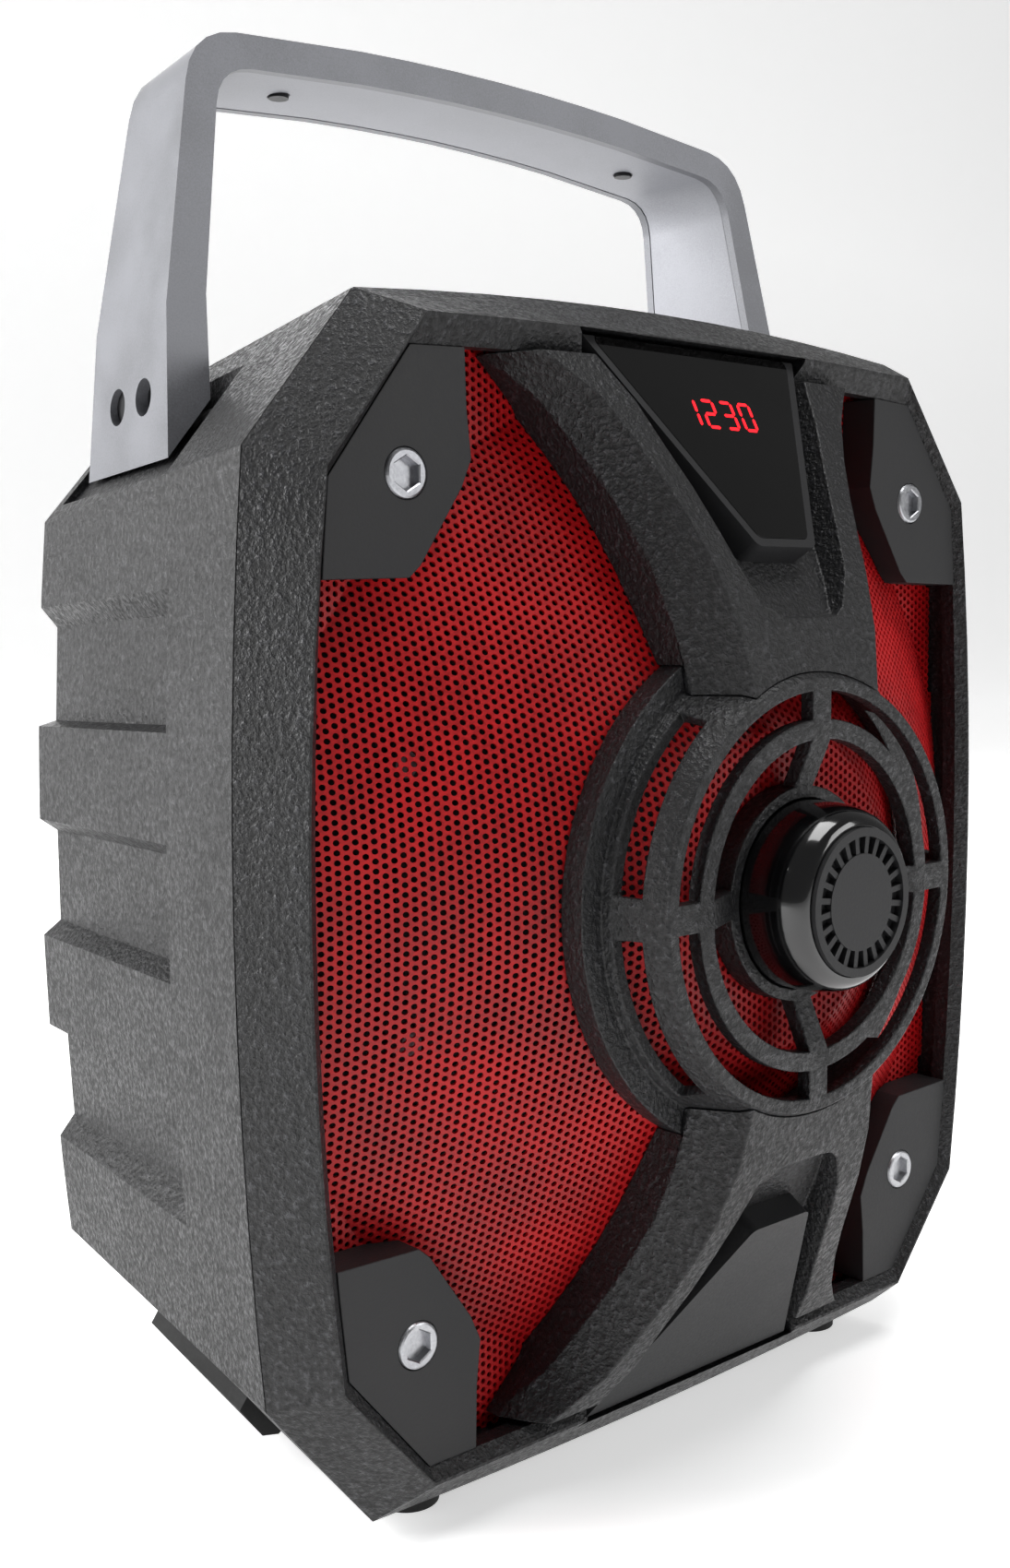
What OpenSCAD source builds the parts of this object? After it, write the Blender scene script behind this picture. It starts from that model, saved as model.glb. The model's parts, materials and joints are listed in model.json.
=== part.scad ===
// Party speaker: moulded cabinet with a carrying handle, an 8 inch woofer, a bullet tweeter
// in a vented ring, a lit display and a rear control panel.
// Every piece is drawn about the centre of the front ring: x to the right, y to the back,
// z up, with the ring's front plane at y = 0.  place() then moves it to the part's frame.

/* [Cabinet] */
// Width of the cabinet at its widest, half way up
body_w = 294.4; // [292:0.2:297]
// Height of the cabinet's top above the ring's centre
top_h = 163.5; // [162.5:0.5:164.5]
// Depth of the cabinet's bottom below the ring's centre
low_h = 166.7; // [165.7:0.5:167.7]
// Distance from the ring's front plane to the cabinet's flat back
body_back = 182; // [180:1:188]
// Height of the rubber feet below the cabinet
foot_h = 3; // [2.5:0.5:5]
// Wall thickness of the rear shell
wall = 3.5; // [3:0.5:4]

/* [Front] */
// Distance from the ring's front plane back to the front edge of the bezel rim
rim_y = 45; // [44:0.5:46]
// Distance from the ring's front plane back to the seam between bezel and rear shell
seam_y = 62; // [61.5:0.5:63]
// How far the tweeter cap stands in front of the ring
cap_out = 14.2; // [12:0.1:16]
// Distance of each bracket screw from the middle, to the side
screw_x = 103.8; // [103:0.1:105]
// Distance of each bracket screw from the middle, up and down
screw_z = 112; // [111:0.1:113]
// Radius of the bracket screw heads
screw_r = 6.5; // [6:0.1:7]
// Thickness of the grille sheet
grille_t = 1; // [0.8:0.1:1.2]

/* [Ring] */
// Outer radius of the ring's front face
ring_r = 59.6; // [59:0.1:60]
// Outer radius of the ring's shoulder, where it meets the grille
shoulder_r = 72.6; // [72:0.1:73]
// Depth of the shoulder behind the ring's front plane
shoulder_y = 18; // [17:0.5:19]
// Width of the four spokes
spoke_w = 7.7; // [6:0.1:9]

/* [Handle] */
// Height of the top of the handle above the ring's centre
handle_top = 244.5; // [243:0.5:250]
// Lean of the handle's front face, in mm back per mm up
handle_lean = 0.1095; // [0.1:0.005:0.12]
// Radius of the counterbores for the handle bolts
bolt_head_r = 5.2; // [4.5:0.1:5.5]

/* [Woofer] */
// Outer radius of the woofer's basket flange
woofer_r = 104; // [102:1:105]
// Travel of the woofer's cone each way
cone_travel = 4; // [2:0.5:5]

/* [Rear panel] */
// Width of the control panel's recess
panel_w = 150; // [145:1:156]
// Height of the control panel's recess
panel_h = 112; // [108:1:116]
// Depth of the control panel's recess
panel_d = 10; // [9:0.5:11]

/* [Hidden] */
$fn = 48;

ring_z = low_h + foot_h;
ring_y = -(body_back + cap_out) / 2 + cap_out;
module place() translate([0, ring_y, ring_z]) children();

// ---- outlines ----
bow = 5;                 // points along each bowed edge
gap = 0.2;               // clearance between pieces that drop into each other
side_taper = 0.00041;    // share of the width lost per mm towards the back
top_taper = 0.0009;      // share of the height lost per mm towards the back
band_taper = 0.00056;    // the same for the bands in the sides

// Quarter outline from the middle of the side up to the middle of the top: bowed side,
// slanted corner, bowed top
function quarter(side, low, high, top) = concat(
  [for (i = [0:bow - 1]) let (t = i / bow) [side - (side - low[0]) * t * t, low[1] * t]],
  [low, high],
  [for (i = [1:bow]) let (t = 1 - i / bow) [high[0] * t, top - (top - high[1]) * t * t]]);
function flip(p) = [for (i = [len(p) - 1:-1:0]) p[i]];
function part_of(p, a, b) = [for (i = [a:b]) p[i]];
// Whole outline from its upper quarter and its lower quarter
function whole(q, b) = let (n = len(q) - 1) concat(
  q,
  part_of(flip([for (p = q) [-p[0], p[1]]]), 1, n),
  part_of([for (p = b) [-p[0], -p[1]]], 1, n),
  part_of(flip([for (p = b) [p[0], -p[1]]]), 1, n - 1));
half_w = body_w / 2;
facet_low = [half_w - 38.3, low_h - 2.3];   // lower edge of the slanted lower corner
facet_high = [half_w - 5.9, low_h - 43.2];  // and its upper edge
seam_line = whole(quarter(half_w, [half_w - 5.4, 118], [half_w - 38.8, top_h - 5], top_h),
  quarter(half_w, facet_high, facet_low, low_h));
rim_line = whole(quarter(half_w - 10.3, [half_w - 18, 113], [half_w - 48.8, top_h - 12], top_h - 10),
  quarter(half_w - 10.3, [half_w - 17.6, 117], [half_w - 46.7, low_h - 16.2], low_h - 15.7));
open_line = whole(quarter(half_w - 14.4, [half_w - 19.8, 110.2], [half_w - 45.2, top_h - 19.9], top_h - 17),
  quarter(half_w - 14.4, [half_w - 21.2, 115], [half_w - 46.7, low_h - 20.4], low_h - 19.7));
function grown(p, d) = [for (q = p) [q[0] + sign(q[0]) * d, q[1] + sign(q[1]) * d]];
function tapered(p, y) = [for (q = p)
  [q[0] * (1 - side_taper * (y - seam_y)), q[1] * (1 - top_taper * (y - seam_y))]];
function at_y(p, y) = [for (q = p) [q[0], y, q[1]]];

// Skin over sections that all have the same even number of points, each anticlockwise seen
// from the first section's outside. The ends are closed with strips from point i to its
// opposite, counted from the other end of the list, so a mirrored outline may be hollow.
module skin(s) {
  n = len(s[0]);
  m = len(s);
  last = (m - 1) * n;
  polyhedron(
    [for (a = s) for (p = a) p],
    concat(
      [for (i = [0:n / 2 - 2]) [n - 1 - i, n - 2 - i, i + 1, i]],
      [for (k = [0:m - 2]) for (i = [0:n - 1]) for (h = [0, 1]) let (j = (i + 1) % n, a = k * n)
        h == 0 ? [a + i, a + j, a + n + j] : [a + i, a + n + j, a + n + i]],
      [for (i = [0:n / 2 - 2]) [last + i, last + i + 1, last + n - 2 - i, last + n - 1 - i]]));
}
module slab(y0, y1) translate([0, y1, 0]) rotate([90, 0, 0]) linear_extrude(y1 - y0) children();
module turned(f = 96) rotate([-90, 0, 0]) rotate_extrude($fn = f) children();
module rod(x, z, r, y0, y1, f = 32) translate([x, y0, z]) rotate([-90, 0, 0]) cylinder(r = r, h = y1 - y0, $fn = f);
module drum(r, y0, y1) rod(0, 0, r, y0, y1, 96);
module four() for (sx = [-1, 1]) for (sz = [-1, 1]) translate([sx * screw_x, 0, sz * screw_z]) children();
module both() for (s = [0, 1]) mirror([s, 0, 0]) children();

// ---- grille ----
// The grille is a shallow cone about the ring's axis, flat under the ring and at its edge
grille_slope = 0.478;
grille_mid = 14;
grille_flat_r = 45;
grille_edge_y = 60;
grille_edge_r = grille_flat_r + (grille_edge_y - grille_mid) / grille_slope;
module grille_profile(back) polygon([[0, grille_mid], [grille_flat_r, grille_mid], [grille_edge_r, grille_edge_y],
  [210, grille_edge_y], [210, grille_edge_y + back], [grille_edge_r, grille_edge_y + back],
  [grille_flat_r, grille_mid + back], [0, grille_mid + back]]);
module behind_grille() turned() polygon([[0, grille_mid - gap / 2], [grille_flat_r, grille_mid - gap / 2],
  [grille_edge_r, grille_edge_y - gap / 2], [210, grille_edge_y - gap / 2], [210, 90], [0, 90]]);
module grille() color("firebrick") place() intersection() {
  turned() grille_profile(grille_t);
  slab(0, 90) polygon(grown(open_line, 3));
}

// ---- bezel ----
notch_top = 153;
rebate_y = 53;            // where the rebate for the grille's edge starts
module bezel_notch() slab(rim_y - 10, seam_y - 5)
  polygon([[-40.6, 140], [40.6, 140], [46.9, notch_top], [-46.9, notch_top]]);
module front_bezel() color("#26262a") place() difference() {
  union() {
    skin([at_y(rim_line, rim_y), at_y(seam_line, seam_y)]);
    slab(seam_y, seam_y + 6) polygon(grown(tapered(seam_line, seam_y + 6), -wall - 0.3));
  }
  skin([at_y(grown(rim_line, 0.3), rim_y - 1), at_y(open_line, rim_y + 3), at_y(open_line, rebate_y)]);
  slab(rebate_y - 0.1, seam_y + 7) polygon(grown(open_line, 3.2));
  bezel_notch();
  mirror([0, 0, 1]) bezel_notch();
}

// ---- corner brackets ----
bracket_line = [[84.6, 150], [84, 129.2], [82.6, 116.5], [85.8, 109.3], [99.4, 89.4], [103, 86.3], [140, 85.4],
  [140, 150]];
bracket_y = rim_y + 2.5;
module bracket(sx, sz) color("#3a3a3c") place() difference() {
  slab(bracket_y, grille_edge_y + 4) intersection() {
    polygon([for (p = bracket_line) [sx * p[0], sz * p[1]]]);
    polygon(grown(open_line, -gap / 2));
  }
  behind_grille();
  four() rod(0, 0, screw_r, bracket_y - 1, bracket_y + 3);
  four() rod(0, 0, 3, bracket_y, 70);
}
module bracket_top_left() bracket(-1, 1);
module bracket_top_right() bracket(1, 1);
module bracket_bottom_left() bracket(-1, -1);
module bracket_bottom_right() bracket(1, -1);
module bracket_screws() color("silver") place() four() difference() {
  union() {
    rod(0, 0, screw_r - 0.1, bracket_y - 0.6, bracket_y + 3);
    rod(0, 0, 2.9, bracket_y + 2, grille_edge_y - 1);
  }
  translate([0, bracket_y - 1, 0]) rotate([-90, 0, 0]) cylinder(r = 4.4, h = 3.4, $fn = 6);
}

// ---- spine ----
// Sections of the raised middle band: height, half width of its front face, depth of it
spine_rows = [[36, 24, 0.4], [54, 25.7, 0.9], [72, 28.5, 4.3], [88.5, 31.4, 9.9], [99, 34.2, 15], [110, 37.9, 20.8],
  [121, 43, 27], [133, 49.7, 33.4], [141, 58, 39.2], [150, 68, 45.4]];
spine_bevel_x = 9;
spine_bevel_y = 14.5;
function spine_section(r) = let (w = r[1], y = r[2], d = min(spine_bevel_y, 56 - y)) flip([
  [-w, y, r[0]], [w, y, r[0]], [w + spine_bevel_x, y + d, r[0]], [w + spine_bevel_x, 70, r[0]],
  [-w - spine_bevel_x, 70, r[0]], [-w - spine_bevel_x, y + d, r[0]]]);
module ring_envelope() turned() polygon([[0, -20], [ring_r + gap, -20], [ring_r + gap, 0], [62.1, 4.5],
  [66.1, shoulder_y - gap], [shoulder_r + gap, shoulder_y - gap], [shoulder_r + gap, 80], [0, 80]]);

// The display and its twin below stand on a plane that leans back with the spine
lean_y = 13.7;
lean_z = 97.2;
lean_angle = atan2(34.2, 55.4);
glass_len = 65.1;
glass_low = 10.2;
glass_high = 41.1;
module leaning() translate([0, lean_y, lean_z]) rotate([90 - lean_angle, 0, 0]) children();
function wedge(low, high, v0, v1) = [[-low, v0], [low, v0], [high, v1], [-high, v1]];
module island_shape(d) offset(r = 3, $fn = 24) offset(delta = d - 3) polygon(wedge(glass_low, glass_high, 0, glass_len));
recess_line = [[10.3, -24.9], [17.9, -19.3], [21.8, -9.6], [28.5, 15.3], [37.3, 42.3], [46.7, 66]];
recess_depth = 8;
function recess_ring(d, n) = let (r = [for (p = recess_line) [p[0] - d, max(p[1], -24.9 + 2 * d)]]) [
  for (p = flip(concat(r, flip([for (q = r) [-q[0], q[1]]])))) [p[0], p[1], n]];
module recess_cut() leaning() skin([recess_ring(2.3, -recess_depth), recess_ring(0, -1), recess_ring(-2, 14)]);
module half_spine() difference() {
  intersection() {
    skin([for (r = spine_rows) spine_section(r)]);
    slab(-20, 80) polygon(grown(open_line, -gap));
  }
  ring_envelope();
  behind_grille();
  recess_cut();
}
module spine_trim() color("#26262a") place() {
  half_spine();
  mirror([0, 0, 1]) half_spine();
}

module island() difference() {
  leaning() translate([0, 0, -recess_depth + 0.05]) linear_extrude(recess_depth - 0.4) island_shape(2.7);
  leaning() translate([0, 0, -2.2]) linear_extrude(4) island_shape(0.1);
}
module above_bezel() translate([-100, -50, 151.6]) cube([200, 200, 50]);
module display_housing() color("#1b1b1d") place() difference() {
  island();
  leaning() translate([-24, 34, -recess_depth - 1]) cube([48, 17, recess_depth]);
  above_bezel();
}
module display_window() color("#050506") place() difference() {
  leaning() translate([0, 0, -2.2]) linear_extrude(2) island_shape(0);
  above_bezel();
}
module display_module() color("darkred") place() leaning() {
  translate([-18, 36.5, -7.5]) cube([36, 12, 5.2]);
}
module lower_trim() color("#2b2b2e") place() mirror([0, 0, 1]) difference() {
  leaning() translate([0, 0, -recess_depth + 0.05]) linear_extrude(recess_depth - 0.4) island_shape(2.7);
  above_bezel();
}

// ---- ring guard ----
slot_in = 48.3;
slot_out = 56;
web_in = 42.9;
hub_r = 29.8;
hub_y = 7;
module wedge_between(a0, a1, y0, y1) slab(y0, y1)
  polygon(concat([[0, 0]], [for (i = [0:6]) let (a = a0 + (a1 - a0) * i / 6) 90 * [cos(a), sin(a)]]));
module spokes(w) for (a = [0, 90]) rotate([0, a, 0]) translate([-80, -10, -w / 2]) cube([160, 60, w]);
module ring_guard() color("#29292c") place() difference() {
  turned() polygon([
    [hub_r - 3.4, hub_y - 1], [hub_r, hub_y - 1], [web_in, 0], [ring_r, 0], [61.9, 4.5], [65.9, shoulder_y],
    [shoulder_r, shoulder_y], [shoulder_r, 26], [shoulder_r - 3, 24.8], [shoulder_r - 3, shoulder_y + 3],
    [63, shoulder_y + 3], [59, 4.5], [web_in + 1, 4.5], [hub_r, hub_y + 4], [hub_r, grille_mid - gap],
    [hub_r - 3.4, grille_mid - gap]]);
  behind_grille();
  difference() {
    union() {
      turned() polygon([[slot_in, -2], [slot_out, -2], [slot_out, 6], [slot_in, 6]]);
      turned() polygon([[hub_r, -2], [web_in, -2], [web_in, 12], [hub_r, 12]]);
    }
    spokes(spoke_w);
  }
  for (a = [0, 180]) for (s = [-1, 1]) intersection() {
    turned() polygon([[57, 7], [70, 7], [70, 15], [57, 15]]);
    wedge_between(a + s * 5, a + s * 52, 0, 30);
  }
}

// ---- tweeter ----
cap_r = 20.1;
bullet_foot = 26.2;
module tweeter_bullet() color("#0b0b0c") place() turned() polygon(concat(
  [[cap_r + 0.1, -cap_out + 1.2], [21.8, -cap_out + 1.6]],
  [for (a = [20:14:90]) [21.8 + 4.2 * sin(a), -cap_out + 2 + 13 * (1 - cos(a))]],
  [[bullet_foot - 0.1, 6], [bullet_foot - 0.1, grille_mid - gap], [23.4, grille_mid - gap], [23.4, 2],
  [19, -cap_out + 4.2], [cap_r + 0.1, -cap_out + 4.2]]));
cap_fins = 24;
module tweeter_cap() color("#2c2c2e") place() {
  turned() polygon([[0, -cap_out + 0.4], [13.1, -cap_out + 0.4], [13.1, -cap_out + 2.4], [17.7, -cap_out + 2.4],
    [17.7, -cap_out], [cap_r, -cap_out], [cap_r, -cap_out + 4], [0, -cap_out + 4]]);
  for (i = [0:cap_fins - 1]) rotate([0, (i + 0.5) * 360 / cap_fins, 0])
    translate([13, -cap_out + 0.6, -0.8]) cube([4.8, 2.4, 1.6]);
}
module tweeter_driver() color("dimgray") place() turned() polygon([[0, -3], [6, -2.2], [10, 0.4], [17, 0.4],
  [17, 3.4], [15, 3.4], [15, 13.2], [0, 13.2]]);

// ---- handle ----
handle_foot = 118;                // depth of the front of the legs at their feet
leg_taper = 0.09;                 // mm that the legs close in per mm towards the back
leg_drop = 0.055;                 // mm that the handle drops per mm towards the back
inner_top = handle_top - 9.8;
// Bends the corner at b between a and c with a smooth curve that starts d away from it
function bend(a, b, c, d, n = 5) = let (u = (a - b) / norm(a - b), v = (c - b) / norm(c - b)) [
  for (i = [0:n]) let (t = i / n) (1 - t) * (1 - t) * (b + d * u) + 2 * t * (1 - t) * b + t * t * (b + d * v)];
function arch(top, x) = top - x * x * 0.00055;
function arch_run(top, x0) = [for (i = [1:4]) let (x = x0 * (1 - i / 4)) [x, arch(top, x)]];
leg_out = [[130, 119.5], [126.6, 161]];
leg_in = [[115.3, 136.2], [113.9, 165]];
knee_out = [112, arch(handle_top, 112)];
knee_in = [103.8, arch(inner_top, 103.8)];
function half_path(leg, knee, d, top) = concat(leg, bend(leg[1], knee, [80, arch(top, 80)], d),
  arch_run(top, 72));
function mirrored(p) = part_of(flip([for (q = p) [-q[0], q[1]]]), 1, len(p) - 1);
outer_half = half_path(leg_out, knee_out, 15, handle_top);
function full(h) = concat(h, mirrored(h));
function u_shape(outer, inner) = concat(full(outer), flip(full(inner)));
function handle_front(z) = 104.4 + handle_lean * z;
function handle_back(z) = 178.5 - 0.052 * z;
function at_depth(p, t, in = 0) = [for (q = p)
  let (y0 = handle_front(q[1]) + in, y1 = handle_back(q[1]) - in, y = y0 + (y1 - y0) * t, d = y - handle_front(q[1]))
  [q[0] - sign(q[0]) * leg_taper * d, y, q[1] - leg_drop * d]];
liner_t = 2.6;
liner_in = 3;
liner_fit = 0.15;
function inset(d) = let (p = [leg_in[0] + [d, 0], leg_in[1] + [d, 0]])
  half_path(p, knee_in + [d, d], 11, inner_top + d);
lip_line = u_shape(outer_half, inset(0));
seat_line = u_shape(outer_half, inset(liner_t + liner_fit));
module handle_blank() skin([at_depth(lip_line, 0), at_depth(lip_line, 0, liner_in - liner_fit),
  at_depth(seat_line, 0, liner_in - liner_fit + 0.01), at_depth(seat_line, 1, liner_in - liner_fit + 0.01),
  at_depth(lip_line, 1, liner_in - liner_fit), at_depth(lip_line, 1)]);
module liner_blank() let (line = u_shape(inset(liner_t), inset(liner_fit)))
  skin([at_depth(line, 0, liner_in), at_depth(line, 1, liner_in)]);
bolts = [[135.2, 137.4], [152.9, 136.4]];     // depth and height of each bolt
module bolt_line(r, x0, x1) for (b = bolts) translate([x0, b[0], b[1]]) rotate([0, 90, 0])
  cylinder(r = r, h = x1 - x0, $fn = 32);
liner_screw_x = 72;
module liner_screws(r, h0, h1) both() translate([liner_screw_x, 148, arch(inner_top, liner_screw_x) + h0])
  cylinder(r = r, h = h1 - h0, $fn = 32);
module handle_band() color("#8f9094") place() difference() {
  handle_blank();
  both() bolt_line(bolt_head_r, 120.5, 140);
  both() bolt_line(3.1, 108, 124);
  liner_screws(1.6, -2, 5.5);
}
module handle_liner() color("#a9aaae") place() difference() {
  liner_blank();
  both() bolt_line(3.1, 100, 122);
  liner_screws(3.3, -5, -0.4);
  liner_screws(1.6, -5, 5.5);
}
module handle_liner_screws() color("#55565a") place() {
  liner_screws(3, -2, -0.5);
  liner_screws(1.5, -0.6, 5);
}
module handle_bolts() color("silver") place() both() {
  bolt_line(5, 120.6, 122.8);
  bolt_line(3, 103, 120.7);
}

// ---- rear shell ----
shell_front = seam_y + 0.6;
function shell_ring(y, d) = at_y(grown(tapered(seam_line, y), -d), y);
// Bands sunk into each side: their edges on the surface and on the floor
bands = [[48.4, 86.4, 50, 79.6], [-18.8, 18.8, -14.6, 14.6], [-86.4, -48.4, -79.6, -50]];
band_depth = 5.6;
band_y = 98;
function side_x(y, z) = (half_w - 0.000388 * z * z) * (1 - side_taper * (y - seam_y));
function band_ring(b, y, g) = let (k = 1 - band_taper * (y - seam_y), e = 3) [
  [side_x(y, b[0]) + e, y, k * (b[0] + (b[0] - b[2]) * e / band_depth) - g],
  [side_x(y, b[1]) + e, y, k * (b[1] + (b[1] - b[3]) * e / band_depth) + g],
  [side_x(y, b[3]) - band_depth - g, y, k * b[3] + g],
  [side_x(y, b[2]) - band_depth - g, y, k * b[2] - g]];
module band_cut(g = 0) both() for (b = bands) skin([band_ring(b, band_y - g, g), band_ring(b, body_back + 5, g)]);
// Pocket in each upper corner that takes the foot of a handle leg
pocket_y0 = 103;
pocket_y1 = 177;
pocket_wall = 113.4;
function pocket_ring(y, g) = let (s = 0.8 * leg_taper * (y - handle_foot), d = leg_drop * (y - handle_foot)) [
  [165, y, 111.5 - d - g], [132.6 - s - g / 2, y, 113.6 - d - g], [pocket_wall - s - g, y, 134.4 - d - g / 2],
  [pocket_wall - s - g, y, 190], [140, y, 190], [165, y, 190]];
module pocket(g = 0) both() skin([for (y = [pocket_y0 - g, pocket_y1 + g]) flip(pocket_ring(y, g))]);
module shell_bosses(r, y0) for (sx = [-1, 1]) for (sz = [-1, 1]) rod(sx * 92, sz * 122, r, y0, body_back);
module rear_shell() color("#2a2a2c") place() difference() {
  skin([shell_ring(shell_front, 0), shell_ring(body_back, 0)]);
  difference() {
    skin([shell_ring(shell_front - 1, wall), shell_ring(body_back - wall, wall)]);
    band_cut(3);
    pocket(3.4);
    shell_bosses(6, 84);
  }
  band_cut();
  pocket();
  both() bolt_line(3, 102, 122);
  shell_bosses(2, 80);
  shell_bosses(4.5, body_back - 4);
  slab(body_back - 30, body_back + 1) square([panel_w + 2 * gap, panel_h + 2 * gap], center = true);
  feet_blank();
}
module shell_screws() color("#444") place() {
  shell_bosses(1.9, 90);
  for (sx = [-1, 1]) for (sz = [-1, 1]) rod(sx * 92, sz * 122, 4.2, body_back - 3.9, body_back - 1.5);
}

// ---- feet ----
foot_low = -(low_h + foot_h);
foot_depth = 2;               // how far the feet are let into the shell
// A point on the slanted lower corner: s up the facet from its lower edge, d outwards
function on_facet(y, s, d) =
  let (p = [for (q = tapered([facet_low, facet_high], y)) [q[0], -q[1]]], u = (p[1] - p[0]) / norm(p[1] - p[0]))
  p[0] + s * u + d * [u[1], -u[0]];
pad_line = [[-3, -9], [-7, -4], [-6.5, 1], [-2, 4.5], [10.5, 4], [12, -foot_depth]];
function pad_ring(y) = [for (q = pad_line) let (p = on_facet(y, q[0], q[1])) [p[0], y, p[1]]];
module feet_blank() both() {
  translate([88, 74, foot_low]) cylinder(r = 9, h = foot_h + 6.5, $fn = 32);
  translate([62, 143, foot_low]) cylinder(r1 = 11, r2 = 12.5, h = foot_h + 16, $fn = 32);
  skin([pad_ring(116), pad_ring(171)]);
}
module feet() color("#141414") place() difference() {
  feet_blank();
  skin([for (y = [shell_front - 1, body_back]) at_y(grown(tapered(seam_line, y), -foot_depth), y)]);
}

// ---- woofer ----
flange_y = 70;
baffle_t = 12;
cone_r = 82;
module baffle() color("#6b5138") place() difference() {
  slab(flange_y + 0.1, flange_y + 0.1 + baffle_t) polygon(grown(tapered(seam_line, 84), -wall - 0.4));
  drum(94, 60, 90);
  shell_bosses(6.1, 60);
  woofer_holes(2, 60, 90);
}
module woofer_holes(r, y0, y1) for (i = [0:7]) rotate([0, 22.5 + i * 45, 0]) rod(99, 0, r, y0, y1);
module woofer_basket() color("#18181a") place() difference() {
  turned() polygon([[cone_r + 5, flange_y - 3], [woofer_r, flange_y - 3], [woofer_r, flange_y], [93.5, flange_y], [90, 74],
    [50, 117], [50, 122], [22, 122], [22, 119], [47, 119], [47, 115.8], [87, 72.6]]);
  for (i = [0:5]) rotate([0, i * 60, 0]) translate([56, 84, -14]) cube([24, 28, 28]);
  woofer_holes(2.2, 60, 80);
}
module woofer_magnet() color("#3f3f42") place() turned() polygon([[14.5, 122.2], [36, 122.2], [36, 126], [46, 126], [46, 141],
  [38, 141], [38, 145], [0, 145], [0, 124], [11.5, 124], [11.5, 138], [14.5, 138]]);
roll_r = 84;
roll_y = flange_y - 3;
function roll(r, y, a0, a1) = [for (i = [0:12]) let (a = a0 + (a1 - a0) * i / 12) [roll_r + r * cos(a), y - r * sin(a)]];
module woofer_surround() color("#101010") place() turned() polygon(concat(
  [[woofer_r - 9, roll_y], [woofer_r - 9, roll_y - 1]], roll(6, roll_y - 1, 0, 180),
  [[roll_r - 10, roll_y - 1], [roll_r - 10, roll_y]], roll(5, roll_y, 180, 0)));
module woofer_spider() color("#b98a3c") place() turned() polygon([[16, 112], [44, 112], [44, 113], [16, 113]]);
cone_edge = [cone_r - 4, roll_y + cone_travel + 0.4];
module woofer_cone() color("#222") place() turned() polygon([[0, 91], [15, 93.5], [26, 98.6], cone_edge,
  cone_edge + [0, 1.3], [26, 100.4], [13.8, 104], [13.8, 131], [12.4, 131], [12.4, 103.6], [22, 99], [14, 95], [0, 92.4]]);
module woofer_screws() color("#222") place() {
  woofer_holes(1.9, flange_y - 3, flange_y + 8);
  woofer_holes(3.6, flange_y - 5.2, flange_y - 3);
}

// ---- rear panel ----
panel_y = body_back - panel_d;
plate_t = 3;
knob_top = body_back - 0.6;
volume_at = [-48, 26];
mic_at = [-12, 30];
echo_at = [18, 30];
button_x = [-56, -36, -16, 4, 24];
button_z = -8;
rocker_at = [54, 26];
mic_jack_at = [-54, -38];
aux_at = [-28, -38];
usb_at = [0, -38];
dc_at = [54, -38];
light_at = [36, -38];
rocker_size = [21, 15];
panel_corner = [panel_w / 2 - 7, panel_h / 2 - 7];
module panel_corners(r, y0, y1) for (sx = [-1, 1]) for (sz = [-1, 1])
  rod(sx * panel_corner[0], sz * panel_corner[1], r, y0, y1);
module at(p) translate([p[0], 0, p[1]]) children();
module control_panel() color("#1c1c1e") place() difference() {
  slab(panel_y - plate_t, body_back) square([panel_w, panel_h], center = true);
  slab(panel_y, body_back + 1) square([panel_w - 4, panel_h - 4], center = true);
  at(volume_at) rod(0, 0, 3.6, 150, 190);
  at(mic_at) rod(0, 0, 3.6, 150, 190);
  at(echo_at) rod(0, 0, 3.6, 150, 190);
  for (x = button_x) rod(x, button_z, 5, 150, 190);
  at(rocker_at) slab(150, 190) square(rocker_size + [0.1, 0.1], center = true);
  at(mic_jack_at) rod(0, 0, 5.6, 150, 190);
  at(aux_at) rod(0, 0, 3.6, 150, 190);
  at(usb_at) slab(150, 190) square([14.2, 6.7], center = true);
  at(dc_at) rod(0, 0, 5.1, 150, 190);
  at(light_at) rod(0, 0, 1.6, 150, 190);
  panel_corners(1.6, 150, 190);
}
module panel_screws() color("#555") place() {
  panel_corners(3, panel_y + 0.05, panel_y + 2);
  panel_corners(1.5, panel_y - 8, panel_y + 0.1);
}
board_y = 151;
module amp_board() color("#1f5b33") place() {
  slab(board_y, board_y + 1.6) square([136, 96], center = true);
  for (p = [volume_at, mic_at, echo_at]) at(p) slab(board_y + 1.6, board_y + 10) square([14, 14], center = true);
  for (x = button_x) at([x, button_z]) slab(board_y + 1.6, board_y + 7) square([6, 6], center = true);
  at([58, -8]) slab(board_y - 14, board_y) square([18, 40], center = true);
  at([-56, -24]) rod(0, 0, 6, board_y - 14, board_y);
  at([-56, -4]) rod(0, 0, 5, board_y - 12, board_y);
}
module battery_pack() color("#2f5fa8") place() translate([-62, 100, -145]) cube([124, 44, 40]);
module battery_strap() color("silver") place() difference() {
  translate([-8, 98, -147]) cube([16, 48, 44]);
  translate([-9, 99.9, -145.1]) cube([18, 44.2, 40.2]);
}
module knob(p, r) color("#0e0e0f") place() at(p) difference() {
  union() {
    rod(0, 0, r, panel_y + 0.5, knob_top - 1, 64);
    rod(0, 0, r - 1, knob_top - 1.1, knob_top, 64);
  }
  rod(0, 0, 3, panel_y - 1, knob_top - 2.5);
  for (i = [0:17]) rotate([0, i * 20, 0]) rod(r + 0.5, 0, 1, panel_y + 2, knob_top + 1, 16);
  translate([-0.6, knob_top - 0.6, r - 6]) cube([1.2, 2, 8]);
}
module shaft(p) color("silver") place() at(p) rod(0, 0, 3, board_y + 10.3, knob_top - 2.6);
module volume_knob() knob(volume_at, 13);
module volume_shaft() shaft(volume_at);
module mic_knob() knob(mic_at, 9);
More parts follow.
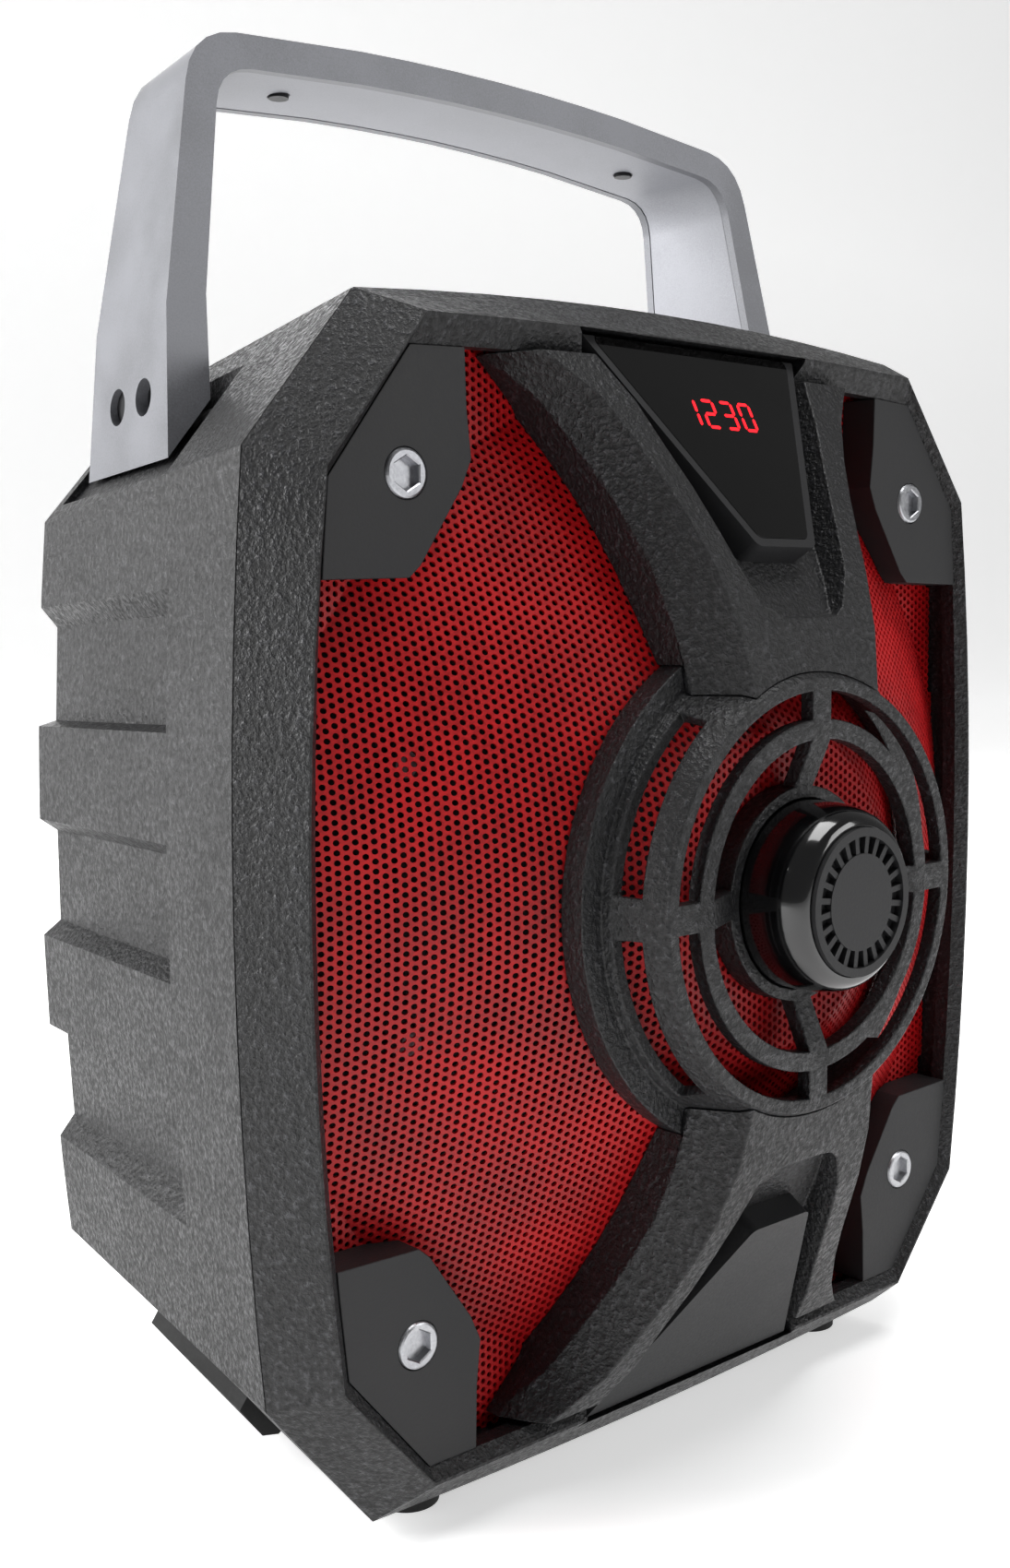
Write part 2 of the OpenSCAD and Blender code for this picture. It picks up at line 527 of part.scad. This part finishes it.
module mic_shaft() shaft(mic_at);
module echo_knob() knob(echo_at, 9);
module echo_shaft() shaft(echo_at);
module button(i) color("#b4b4b6") place() at([button_x[i], button_z]) {
  rod(0, 0, 4.7, panel_y - 6, panel_y + 2.4);
  rod(0, 0, 6, panel_y - 6.4, panel_y - plate_t - 1.2);
}
module button_previous() button(0);
module button_play() button(1);
module button_next() button(2);
module button_mode() button(3);
module button_lights() button(4);
rocker_tilt = 8;
rocker_half = [8.2, 5.6];
pivot_y = panel_y - 3;
module pivot_pin(r, h) translate([0, pivot_y, -h / 2]) cylinder(r = r, h = h);
module switch_frame() color("#0c0c0d") place() at(rocker_at) difference() {
  union() {
    slab(panel_y + 0.05, panel_y + 1.8) square(rocker_size + [4, 4], center = true);
    slab(panel_y - 15, panel_y + 0.1) square(rocker_size, center = true);
  }
  slab(panel_y - 13, panel_y + 3) square(rocker_size - [3, 3], center = true);
  pivot_pin(1.25, rocker_size[1] - 0.4);
}
module power_rocker() color("#c21f1f") place() at(rocker_at) {
  translate([0, pivot_y, -rocker_half[1]]) rotate(rocker_tilt) linear_extrude(2 * rocker_half[1])
    polygon([[-rocker_half[0], 3.8], [0, 2.6], [rocker_half[0], 3.8], [rocker_half[0] - 0.4, -1], [3, -4], [-3, -4],
      [0.4 - rocker_half[0], -1]]);
  pivot_pin(1.2, rocker_size[1] - 0.8);
}
module mic_jack() color("#9a9a9d") place() at(mic_jack_at) difference() {
  union() {
    rod(0, 0, 5.5, panel_y - 18, panel_y + 1);
    rod(0, 0, 8, panel_y + 1, panel_y + 3.2);
  }
  rod(0, 0, 3.3, panel_y - 16, panel_y + 5);
}
module aux_jack() color("#9a9a9d") place() at(aux_at) difference() {
  union() {
    rod(0, 0, 3.5, panel_y - 14, panel_y + 0.5);
    rod(0, 0, 4.6, panel_y + 0.5, panel_y + 1.6);
  }
  rod(0, 0, 1.8, panel_y - 13, panel_y + 4);
}
module usb_socket() color("#c9c9cc") place() at(usb_at) difference() {
  slab(panel_y - 14, panel_y + 0.4) square([14, 6.5], center = true);
  slab(panel_y - 12.5, panel_y + 1) square([12.5, 5.1], center = true);
}
module dc_jack() color("#0d0d0e") place() at(dc_at) difference() {
  union() {
    rod(0, 0, 5, panel_y - 13, panel_y + 0.5);
    rod(0, 0, 6.4, panel_y + 0.5, panel_y + 1.6);
  }
  rod(0, 0, 2.9, panel_y - 10, panel_y + 4);
}
module charge_light() color("#d33") place() at(light_at) rod(0, 0, 1.5, panel_y - 5, panel_y + 0.8);

front_bezel();
spine_trim();
ring_guard();
grille();
bracket_top_left();
bracket_top_right();
bracket_bottom_left();
bracket_bottom_right();
bracket_screws();
display_housing();
display_window();
display_module();
lower_trim();
tweeter_bullet();
tweeter_cap();
tweeter_driver();
handle_band();
handle_liner();
handle_liner_screws();
handle_bolts();
rear_shell();
feet();
shell_screws();
baffle();
woofer_basket();
woofer_magnet();
woofer_surround();
woofer_spider();
woofer_cone();
woofer_screws();
control_panel();
panel_screws();
amp_board();
battery_pack();
battery_strap();
volume_knob();
volume_shaft();
mic_knob();
mic_shaft();
echo_knob();
echo_shaft();
button_previous();
button_play();
button_next();
button_mode();
button_lights();
power_rocker();
switch_frame();
mic_jack();
aux_jack();
usb_socket();
dc_jack();
charge_light();
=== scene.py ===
# %% [markdown]
# Party speaker, a lesson in cells.
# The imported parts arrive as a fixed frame, in metres, standing on z = 0 with the front towards -y.
# We light it, dress every part in a finish made of nodes, and swap the parts whose real surface
# is richer than the engineering solid for finer meshes that ride on the same bodies.

# %% Load the frame
import json
import math

import bpy
from mathutils import Matrix, Vector


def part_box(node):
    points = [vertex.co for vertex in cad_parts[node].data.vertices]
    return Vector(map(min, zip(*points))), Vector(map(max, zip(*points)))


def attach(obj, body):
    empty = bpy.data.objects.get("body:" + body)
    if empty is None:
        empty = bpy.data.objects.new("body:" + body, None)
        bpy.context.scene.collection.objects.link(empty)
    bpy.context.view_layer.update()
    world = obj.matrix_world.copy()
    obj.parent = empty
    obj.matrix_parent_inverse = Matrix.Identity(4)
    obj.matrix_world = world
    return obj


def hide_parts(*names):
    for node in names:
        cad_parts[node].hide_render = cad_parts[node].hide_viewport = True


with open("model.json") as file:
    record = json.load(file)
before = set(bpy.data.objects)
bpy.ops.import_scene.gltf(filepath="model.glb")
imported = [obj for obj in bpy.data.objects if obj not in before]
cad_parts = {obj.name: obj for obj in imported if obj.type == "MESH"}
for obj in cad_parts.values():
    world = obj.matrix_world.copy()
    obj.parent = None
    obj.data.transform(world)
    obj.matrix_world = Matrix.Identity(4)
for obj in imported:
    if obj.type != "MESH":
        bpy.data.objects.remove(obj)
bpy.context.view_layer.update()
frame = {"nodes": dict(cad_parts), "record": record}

nodes = frame["nodes"]

# %% [markdown]
# Every piece is drawn about the centre of the front ring, in millimetres, because that is how the
# moulds of such a speaker are dimensioned. `place` moves a point from there to the frame.

# %% Where the ring is
MM = 0.001
ring_low, ring_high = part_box("ring_guard")
RING = Vector((0, ring_low.y, (ring_low.z + ring_high.z) / 2))


def place(x, y, z):
    """A point given in millimetres from the ring's centre, as a point of the frame."""
    return RING + Vector((x, y, z)) * MM


print("ring centre:", tuple(round(c, 4) for c in RING))

# %% [markdown]
# The camera stands low and to the left of the speaker, close enough that the near side looks
# taller than the far side. It is aimed with three angles: yaw to the right, pitch down, and a
# slight roll. Building the rotation from three axes keeps the roll exact.

# %% Camera
YAW, PITCH, ROLL = (math.radians(a) for a in (40.8865, -5.7783, -0.4877))
ahead = Vector((math.sin(YAW) * math.cos(PITCH), math.cos(YAW) * math.cos(PITCH), math.sin(PITCH)))
level = Vector((math.cos(YAW), -math.sin(YAW), 0))
above = level.cross(ahead)
right = level * math.cos(ROLL) + above * math.sin(ROLL)
upward = above * math.cos(ROLL) - level * math.sin(ROLL)
camera = bpy.data.objects.new("camera", bpy.data.cameras.new("camera"))
camera.matrix_world = Matrix.Translation(place(-361.42, -286.37, 77.27)) @ Matrix(
    (right, upward, -ahead)).transposed().to_4x4()
camera.data.lens = 38.65
camera.data.sensor_width = 36
camera.data.clip_start = 0.01
bpy.context.scene.collection.objects.link(camera)
bpy.context.scene.camera = camera
print("camera looks along", tuple(round(c, 3) for c in ahead))

# %% [markdown]
# A studio for small products is a pale floor and a few big soft boxes. Big lights close by give
# the wide, soft reflections that show the roundness of black plastic. The strongest stands to the
# left and behind, one hangs overhead, and two weak ones, in front and behind, fill the shade.

# %% Floor and lights
def soft_box(name, spot, target, size, watts):
    """A square area light, in metres, that stands at spot and points at target."""
    lamp = bpy.data.objects.new(name, bpy.data.lights.new(name, "AREA"))
    lamp.data.shape = "SQUARE"
    lamp.data.size = size
    lamp.data.energy = watts
    lamp.location = spot
    lamp.rotation_euler = (Vector(target) - Vector(spot)).to_track_quat("-Z", "Y").to_euler()
    bpy.context.scene.collection.objects.link(lamp)
    return lamp


CABINET_MIDDLE = (0, 0, 0.2)
soft_box("box_left", (-1.6, 0.9, 0.9), CABINET_MIDDLE, 1.1, 44)
soft_box("box_top", (0.1, -0.3, 1.9), CABINET_MIDDLE, 1.0, 22)
soft_box("box_front", (1.1, -1.5, 0.9), CABINET_MIDDLE, 0.8, 9)
soft_box("box_back", (0.9, 1.5, 1.1), CABINET_MIDDLE, 1.0, 14)
print("soft boxes: 4")

world = bpy.data.worlds.new("studio")
world.use_nodes = True
world.node_tree.nodes["Background"].inputs["Color"].default_value = (1, 1, 1, 1)
world.node_tree.nodes["Background"].inputs["Strength"].default_value = 0.17
bpy.context.scene.world = world
bpy.context.scene.view_settings.view_transform = "Standard"

# %% [markdown]
# A finish starts from what the real one is. `linear` turns the sRGB hex value that a designer
# would name into the linear light that the shader wants, and `add` is the one way that nodes
# are made here: a kind, its settings, and what each socket holds or is fed by.

# %% Colour and node helpers
def linear(code):
    """#rrggbb in sRGB as linear RGBA."""
    parts = [int(code[i:i + 2], 16) / 255 for i in (1, 3, 5)]
    return [p / 12.92 if p <= 0.04045 else ((p + 0.055) / 1.055) ** 2.4 for p in parts] + [1]


def add(tree, kind, settings=None, **sockets):
    """Adds a node. A socket's value is a plain value, or (node, output name) to link from."""
    made = tree.nodes.new(kind)
    for key, value in (settings or {}).items():
        setattr(made, key, value)
    for key, value in sockets.items():
        socket = made.inputs[int(key[1:]) if key[1:].isdigit() else key.replace("_", " ")]
        if isinstance(value, tuple) and hasattr(value[0], "outputs"):
            tree.links.new(value[0].outputs[value[1]], socket)
        else:
            socket.default_value = value
    return made


MOTTLE_LOW, MOTTLE_HIGH, HIGHLIGHT_SPECK_AT = 0.38, 0.58, 0.66     # noise rarely leaves 0.35 to 0.65


def finish(name, dark, light, rough, grain, depth, patch=30, grain_share=0.5, highlight_speck=None,
           **shader):
    """A surface with a grain of that size and depth in mm, mottled between two colours in
    patches of that size, with roughness between the two values given, and, if highlight_speck
    is given, paler specks painted where the noise peaks, as painted highlights.
    grain_share is how much of the mottling comes from the grain, from 0 to 1."""
    made = bpy.data.materials.new(name)
    made.use_nodes = True
    tree = made.node_tree
    surface = tree.nodes["Principled BSDF"]
    for key, value in shader.items():
        surface.inputs[key.replace("_", " ")].default_value = value
    where = add(tree, "ShaderNodeTexCoord")
    fine = add(tree, "ShaderNodeTexNoise", Vector=(where, "Object"), Scale=1000 / grain,
               Detail=3.0, Roughness=0.6)
    broad = add(tree, "ShaderNodeTexNoise", Vector=(where, "Object"), Scale=1000 / patch, Detail=4.0)
    blend = add(tree, "ShaderNodeMix", {"data_type": "FLOAT"}, Factor=grain_share,
                _2=(broad, "Fac"), _3=(fine, "Fac"))
    ramp = add(tree, "ShaderNodeValToRGB", Fac=(blend, "Result"))
    ramp.color_ramp.elements[0].position = MOTTLE_LOW
    ramp.color_ramp.elements[0].color = linear(dark)
    ramp.color_ramp.elements[1].position = MOTTLE_HIGH
    ramp.color_ramp.elements[1].color = linear(light)
    # Painted highlights: paler specks where the noise peaks stand in for glints of light on the grain.
    if highlight_speck:
        ramp.color_ramp.elements.new(HIGHLIGHT_SPECK_AT).color = linear(highlight_speck)
    tree.links.new(ramp.outputs["Color"], surface.inputs["Base Color"])
    spread_rough = add(tree, "ShaderNodeMapRange", Value=(blend, "Result"), From_Min=MOTTLE_LOW,
                       From_Max=0.6, To_Min=rough[0], To_Max=rough[1])
    tree.links.new(spread_rough.outputs["Result"], surface.inputs["Roughness"])
    bump = add(tree, "ShaderNodeBump", Height=(fine, "Fac"), Distance=depth * MM, Strength=1.0)
    tree.links.new(bump.outputs["Normal"], surface.inputs["Normal"])
    return made


# %% [markdown]
# The studio floor is matt paper that curves up into the background, so no horizon shows. It only
# needs a faint tooth. A weak glow stands for the light that falls on a real paper sweep.

# %% Floor
paper = finish("white_paper", "#f2f2f2", "#f7f7f7", (0.8, 0.9), 2, 0.02,
               Emission_Color=linear("#ffffff"), Emission_Strength=0.5)
SWEEP_Y, SWEEP_R, SWEEP_W = 2.2, 1.6, 7
profile = [(-6, 0)] + [(SWEEP_Y + SWEEP_R * math.sin(a), SWEEP_R * (1 - math.cos(a)))
                       for a in (math.radians(7.5 * k) for k in range(13))] + [(SWEEP_Y + SWEEP_R, 6)]
floor_mesh = bpy.data.meshes.new("floor")
floor_mesh.from_pydata([(x, y, z) for y, z in profile for x in (-SWEEP_W, SWEEP_W)], [],
                       [(2 * k, 2 * k + 1, 2 * k + 3, 2 * k + 2) for k in range(len(profile) - 1)])
for face in floor_mesh.polygons:
    face.use_smooth = True
floor_mesh.materials.append(paper)
floor = bpy.data.objects.new("floor", floor_mesh)
bpy.context.scene.collection.objects.link(floor)

# %% [markdown]
# The cabinet is ABS, moulded against a spark eroded mould. That leaves a pebbled skin, which
# breaks each highlight into many small ones. Its pebbles are about 1 mm, and are drawn 1.6 mm
# wide so that they show. The brackets and the display trim are the same plastic from a finer
# mould, so they look flat and even. The bullet is polished ABS, which mirrors the soft boxes. The
# panel, knobs and keys at the back are plain ABS with a faint tooth.

# %% Moulded ABS
finishes = {
    # Painted highlights: the pebbled ABS takes its paler colour mostly from the same fine noise as its
    # bumps, so the pebble tops are painted lighter, and highlight_speck adds painted glints.
    "textured_abs": finish("pebbled_abs", "#060607", "#161618", (0.62, 0.34), 1.6, 0.8, grain_share=0.85,
                           highlight_speck="#343437", Specular_IOR_Level=0.42),
    "matte_abs": finish("fine_matt_abs", "#131314", "#1b1b1d", (0.5, 0.6), 0.8, 0.06, grain_share=0.7,
                        Specular_IOR_Level=0.4),
    "gloss_black": finish("polished_black_abs", "#040405", "#09090a", (0.10, 0.16), 8, 0.02,
                          Coat_Weight=0.6, Coat_Roughness=0.04),
    "panel_abs": finish("panel_matt_abs", "#151516", "#202022", (0.42, 0.55), 0.5, 0.03),
    "knob_plastic": finish("knob_abs", "#0b0b0c", "#151517", (0.3, 0.42), 0.6, 0.02),
    "button_plastic": finish("painted_button_abs", "#9c9da1", "#b4b5b8", (0.3, 0.4), 0.4, 0.01),
}
print("finishes:", sorted(finishes))

# %% [markdown]
# Smoked acrylic is almost black and very smooth, so the display shows only by its glow. The grille
# is steel with red enamel, satin rather than wet. The handle's silver paint holds fine metal
# flakes, so it is partly metallic, and its liner is the same grey without the flakes. Zinc plated
# screws are true metals, with broad soft highlights. Rubber, board and paper pulp scatter the
# light, so they are rough and dark. The board behind the grille is made near black as painted
# shade, so the holes look as dark as the shade behind the grille makes them. The rest is inside
# and hardly seen.

# %% Acrylic, paint and metals
finishes.update({
    "smoked_acrylic": finish("smoked_acrylic", "#030303", "#060606", (0.05, 0.08), 20, 0.004,
                             IOR=1.49),
    "led_module": finish("red_led", "#b3060a", "#d40a10", (0.3, 0.4), 1, 0.01,
                         Emission_Color=linear("#ff1420"), Emission_Strength=2.6),
    "red_steel": finish("red_enamelled_steel", "#860208", "#b0040b", (0.42, 0.55), 1.2, 0.01,
                        Specular_IOR_Level=0.35),
    "silver_paint": finish("silver_satin_paint", "#6f7074", "#808186", (0.36, 0.46), 0.5, 0.012,
                           Metallic=0.35),
    "silver_abs": finish("silver_grey_abs", "#94959b", "#a5a6ac", (0.4, 0.5), 0.5, 0.012,
                         Metallic=0.15),
    "chromed_steel": finish("zinc_plated_steel", "#9b9ca0", "#b4b5b8", (0.28, 0.4), 1.0, 0.01,
                            Metallic=1.0),
    "zinc_screws": finish("zinc_steel", "#8d8d8f", "#a3a3a6", (0.3, 0.42), 1.0, 0.01, Metallic=1.0),
    "rubber": finish("black_rubber", "#101010", "#1a1a1a", (0.7, 0.85), 1.0, 0.05),
    # Painted shade: the board's near black colour stands in for the shade seen through the grille holes.
    "fibreboard": finish("shade_darkened_fibreboard", "#0c0b0b", "#151313", (0.8, 0.9), 1.5, 0.1),
    "black_steel": finish("black_coated_steel", "#111113", "#1b1b1e", (0.4, 0.5), 0.8, 0.02,
                          Metallic=0.4),
    "driver_metal": finish("zinc_magnet_steel", "#3b3b3e", "#4a4a4e", (0.35, 0.5), 0.8, 0.02,
                           Metallic=0.8),
    "paper_cone": finish("pulp_cone", "#131314", "#1f1f21", (0.75, 0.85), 1.2, 0.12),
    "spider_cloth": finish("resin_cloth", "#a07735", "#b98a3c", (0.8, 0.9), 0.8, 0.1),
    "circuit_board": finish("solder_mask", "#174526", "#1f5b33", (0.35, 0.45), 2, 0.02),
    "battery_wrap": finish("shrink_wrap", "#274f8d", "#3161ab", (0.25, 0.35), 6, 0.03),
    "rocker_red": finish("red_switch_pc", "#a81318", "#c21a1f", (0.2, 0.3), 1, 0.01),
})
slots = [m["slot"] for m in frame["record"]["materials"]]
print("slots without a finish:", [s for s in slots if s not in finishes])

# %% [markdown]
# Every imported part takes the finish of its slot. A moulded or turned edge is never a knife edge,
# so a weld and a small bevel round the edges sharper than 30 degrees.

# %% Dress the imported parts
def soften(piece, width=0.5, segments=2, angle=30):
    """Joins split vertices, rounds the sharp edges by that many mm, and shades smoothly."""
    weld = piece.modifiers.new("weld", "WELD")
    weld.merge_threshold = 0.00002
    bevel = piece.modifiers.new("bevel", "BEVEL")
    bevel.width = width * MM
    bevel.segments = segments
    bevel.limit_method = "ANGLE"
    bevel.angle_limit = math.radians(angle)
    even = piece.modifiers.new("even", "WEIGHTED_NORMAL")
    even.mode = "FACE_AREA_WITH_ANGLE"
    even.weight = 80
    for face in piece.data.polygons:
        face.use_smooth = True


# Widths in mm for the parts with large rounded edges; the others get 0.3 mm
ROUND = {"front_bezel": 2.6, "rear_shell": 1.6, "spine_trim": 1.8, "ring_guard": 0.9, "handle_band": 1.4,
         "bracket_top_left": 1.2, "bracket_top_right": 1.2, "bracket_bottom_left": 1.2,
         "bracket_bottom_right": 1.2, "display_housing": 0.7, "lower_trim": 1.4, "feet": 1.2}
for name, part in nodes.items():
    for slot in part.material_slots:
        slot.material = finishes[slot.material.name.split(".")[0]]
    soften(part, ROUND.get(name, 0.3), 3 if name in ROUND else 2)

# %% [markdown]
# A mesh piece is made from a list of points and faces, given a finish and a body to ride on.

# %% Make a piece
def piece(name, points, faces, slot, body="root_body", instead_of=()):
    """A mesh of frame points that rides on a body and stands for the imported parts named."""
    mesh = bpy.data.meshes.new(name)
    mesh.from_pydata(points, [], faces)
    mesh.validate()
    mesh.materials.append(finishes[slot])
    made = bpy.data.objects.new(name, mesh)
    bpy.context.scene.collection.objects.link(made)
    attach(made, body)
    if instead_of:
        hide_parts(*instead_of)
    return made


# %% [markdown]
# The grille is 1 mm steel, punched with round holes on a 2.5 mm triangular pitch and pressed
# into a shallow cone. Each hole gets a cell: a hexagon of sheet with a twelve sided hole in it.
# Neighbours share their rims, so one Solidify modifier can give the whole sheet its thickness
# and the holes their walls. A picture of holes would not show this depth from the side.

# %% Grille sheet
PITCH = 2.5              # mm between holes
HOLE = 0.80              # mm, radius of a hole
CONE_FROM, CONE_SLOPE = 45, 0.478


def quarter(side, low, high, top, bow):
    """Outline from the middle of the side to the middle of the top: bowed, slanted, bowed."""
    up = [(side - (side - low[0]) * (i / bow) ** 2, low[1] * i / bow) for i in range(bow)]
    over = [(high[0] * (1 - i / bow), top - (top - high[1]) * (1 - i / bow) ** 2)
            for i in range(1, bow + 1)]
    return up + [low, high] + over


def outline(upper, lower, bow=10):
    """The whole outline, anticlockwise seen from the front, from its two right quarters."""
    over, under = quarter(*upper, bow), quarter(*lower, bow)
    roof = over + [(-x, z) for x, z in reversed(over[:-1])]
    foot = under + [(-x, z) for x, z in reversed(under[:-1])]
    return roof + [(x, -z) for x, z in reversed(foot[1:-1])]


def grown(line, d):
    """The outline moved outwards by d, each way."""
    return [(x + math.copysign(d, x) * (x != 0), z + math.copysign(d, z) * (z != 0)) for x, z in line]


opening = outline((132.8, (127.4, 110.2), (102, 143.6), 146.5),
                  (132.8, (126, 115), (100.5, 146.3), 147))


def inside(line, x, z):
    """Whether the point is inside the closed line."""
    hit = False
    for (x0, z0), (x1, z1) in zip(line, line[1:] + line[:1]):
        if (z0 > z) != (z1 > z) and x < x0 + (z - z0) * (x1 - x0) / (z1 - z0):
            hit = not hit
    return hit


def grille_depth(r):
    """Depth of the sheet's front face behind the ring's front plane, at radius r."""
    return min(14 + max(0, r - CONE_FROM) * CONE_SLOPE, 60)


def covered(x, z):
    """Whether a solid trim hides this spot of the sheet, so its holes would never show."""
    spine = abs(z) > 66 and abs(x) < 12 + 0.14 * abs(z)
    return spine or math.hypot(x, z) < 22


edge = grown(opening, 2.4)
points, index, faces = [], {}, []


def sheet_point(x, z):
    """The index of the sheet's point over (x, z), made once and then shared."""
    key = (round(x * 50), round(z * 50))
    if key not in index:
        index[key] = len(points)
        points.append(place(x, grille_depth(math.hypot(x, z)), z))
    return index[key]


columns, rows = int(138 / (PITCH * 0.866)), int(152 / PITCH)
holes = 0
for i in range(-columns, columns + 1):
    for j in range(-rows, rows + 1):
        cx, cz = i * PITCH * math.sqrt(3) / 2, (j + (i % 2) / 2) * PITCH
        if not inside(edge, cx, cz):
            continue
        rim, hole = [], []
        for k in range(12):
            a = math.radians(30 * k)
            reach = PITCH / math.sqrt(3) if k % 2 == 0 else PITCH / 2
            rim.append(sheet_point(cx + reach * math.cos(a), cz + reach * math.sin(a)))
            hole.append((cx + HOLE * math.cos(a), cz + HOLE * math.sin(a)))
        if covered(cx, cz):
            faces.append(rim)
            continue
        holes += 1
        ring = []
        for x, z in hole:
            ring.append(len(points))
            points.append(place(x, grille_depth(math.hypot(x, z)), z))
        for k in range(12):
            m = (k + 1) % 12
            faces.append((rim[k], rim[m], ring[m], ring[k]))
grille = piece("perforated_grille", points, faces, "red_steel", instead_of=["grille"])
sheet = grille.modifiers.new("sheet", "SOLIDIFY")
sheet.thickness = 0.9 * MM
sheet.offset = -1
print("holes:", holes, "points:", len(points))

# %% [markdown]
# Each corner bracket is held by a zinc plated screw with a hexagon socket. Its head is turned, so
# it is drawn as rings of points about its axis: rim, rounded edge, flat top, then the socket,
# whose six flats go down 2.4 mm. The shank is hidden in the bracket, so it isn't drawn.

# %% Bracket screws
RIM, SOCKET, SIDES = 6.4, 4.4, 48


def screw_ring(middle, depth, radius, six=False):
    """One ring of points about the screw's axis, round or with six flats."""
    ring = []
    for k in range(SIDES):
        a = math.tau * k / SIDES
        reach = radius
        if six:
            off_flat = (a + math.pi / 6) % (math.pi / 3) - math.pi / 6
            reach = radius * (math.cos(math.pi / 6) / math.cos(off_flat))
        ring.append(place(middle[0] + reach * math.cos(a), depth, middle[1] + reach * math.sin(a)))
    return ring


def close_rings(count):
    """Quads between that many rings of SIDES points, and a flat face at each end."""
    quads = [(k * SIDES + i, k * SIDES + (i + 1) % SIDES, (k + 1) * SIDES + (i + 1) % SIDES,
              (k + 1) * SIDES + i) for k in range(count - 1) for i in range(SIDES)]
    return quads + [tuple(reversed(range(SIDES))), tuple(range((count - 1) * SIDES, count * SIDES))]


screw_low, screw_high = (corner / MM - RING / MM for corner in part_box("bracket_screws"))
screw_x, screw_z = screw_high.x - RIM, screw_high.z - RIM
top = screw_low.y
points, faces = [], []
for middle in ((sx * screw_x, sz * screw_z) for sx in (-1, 1) for sz in (-1, 1)):
    start = len(points)
    rings = [(top + 3.4, 2.9, False), (top + 3.4, RIM, False), (top + 0.8, RIM, False),
             (top + 0.25, RIM - 0.3, False), (top, RIM - 0.8, False), (top, SOCKET + 0.35, True),
             (top + 0.35, SOCKET, True), (top + 2.4, SOCKET, True)]
    for depth, radius, six in rings:
        points += screw_ring(middle, depth, radius, six)
    faces += [tuple(start + i for i in face) for face in close_rings(len(rings))]
heads = piece("hex_socket_screws", points, faces, "chromed_steel", instead_of=["bracket_screws"])
print("screw centres at", round(screw_x, 1), round(screw_z, 1), "head top at", round(top, 1))

# %% [markdown]
# The display is four red digits behind smoked acrylic. Each digit is made of bars with pointed
# ends, up to seven of them, and they glow. They show a plain 1230.

# %% Display digits
LEAN = math.atan2(34.2, 55.4)
GLASS_Y, GLASS_Z = 13.7, 97.2          # mm, the foot of the leaning window
DIGIT_V, DIGIT_STEP, DIGIT_SHIFT = 41, 7.7, -2.2
SEGMENTS = {"0": "abcdef", "1": "bc", "2": "abged", "3": "abgcd"}
DIGIT_W, DIGIT_H, BAR = 4.6, 9.1, 1.0


def on_glass(u, v, out):
    """A point on the leaning window: u to the right, v up along it, out towards the viewer."""
    return place(u, GLASS_Y + v * math.sin(LEAN) - out * math.cos(LEAN),
                 GLASS_Z + v * math.cos(LEAN) + out * math.sin(LEAN))


def bar(u, v, length, upright):
    """Outline of one bar with pointed ends, centred on (u, v)."""
    half, thick = length / 2 - 0.25, BAR / 2
    run = [(-half, 0), (thick - half, -thick), (half - thick, -thick), (half, 0),
           (half - thick, thick), (thick - half, thick)]
    return [(u - b, v + a) if upright else (u + a, v + b) for a, b in run]


w, h = DIGIT_W / 2, DIGIT_H / 2
BARS = {"a": (0, h, False), "b": (w, h / 2, True), "c": (w, -h / 2, True), "d": (0, -h, False),
        "e": (-w, -h / 2, True), "f": (-w, h / 2, True), "g": (0, 0, False)}
points, faces = [], []
for place_no, digit in enumerate("1230"):
    for letter in SEGMENTS[digit]:
        du, dv, upright = BARS[letter]
        middle_u, middle_v = (place_no - 1.5) * DIGIT_STEP + du, DIGIT_V + dv
        shape = bar(middle_u, middle_v, h if upright else DIGIT_W, upright)
        start = len(points)
        for out in (-0.25, -0.13):
            points += [on_glass(u + DIGIT_SHIFT + 0.1 * (v - DIGIT_V), v, out) for u, v in shape]
        faces.append([start + k for k in range(6, 12)])
        faces.append([start + k for k in range(5, -1, -1)])
        faces += [(start + k, start + (k + 1) % 6, start + 6 + (k + 1) % 6, start + 6 + k) for k in range(6)]
digits = piece("display_digits", points, faces, "led_module")
print("bars:", len(points) // 12)
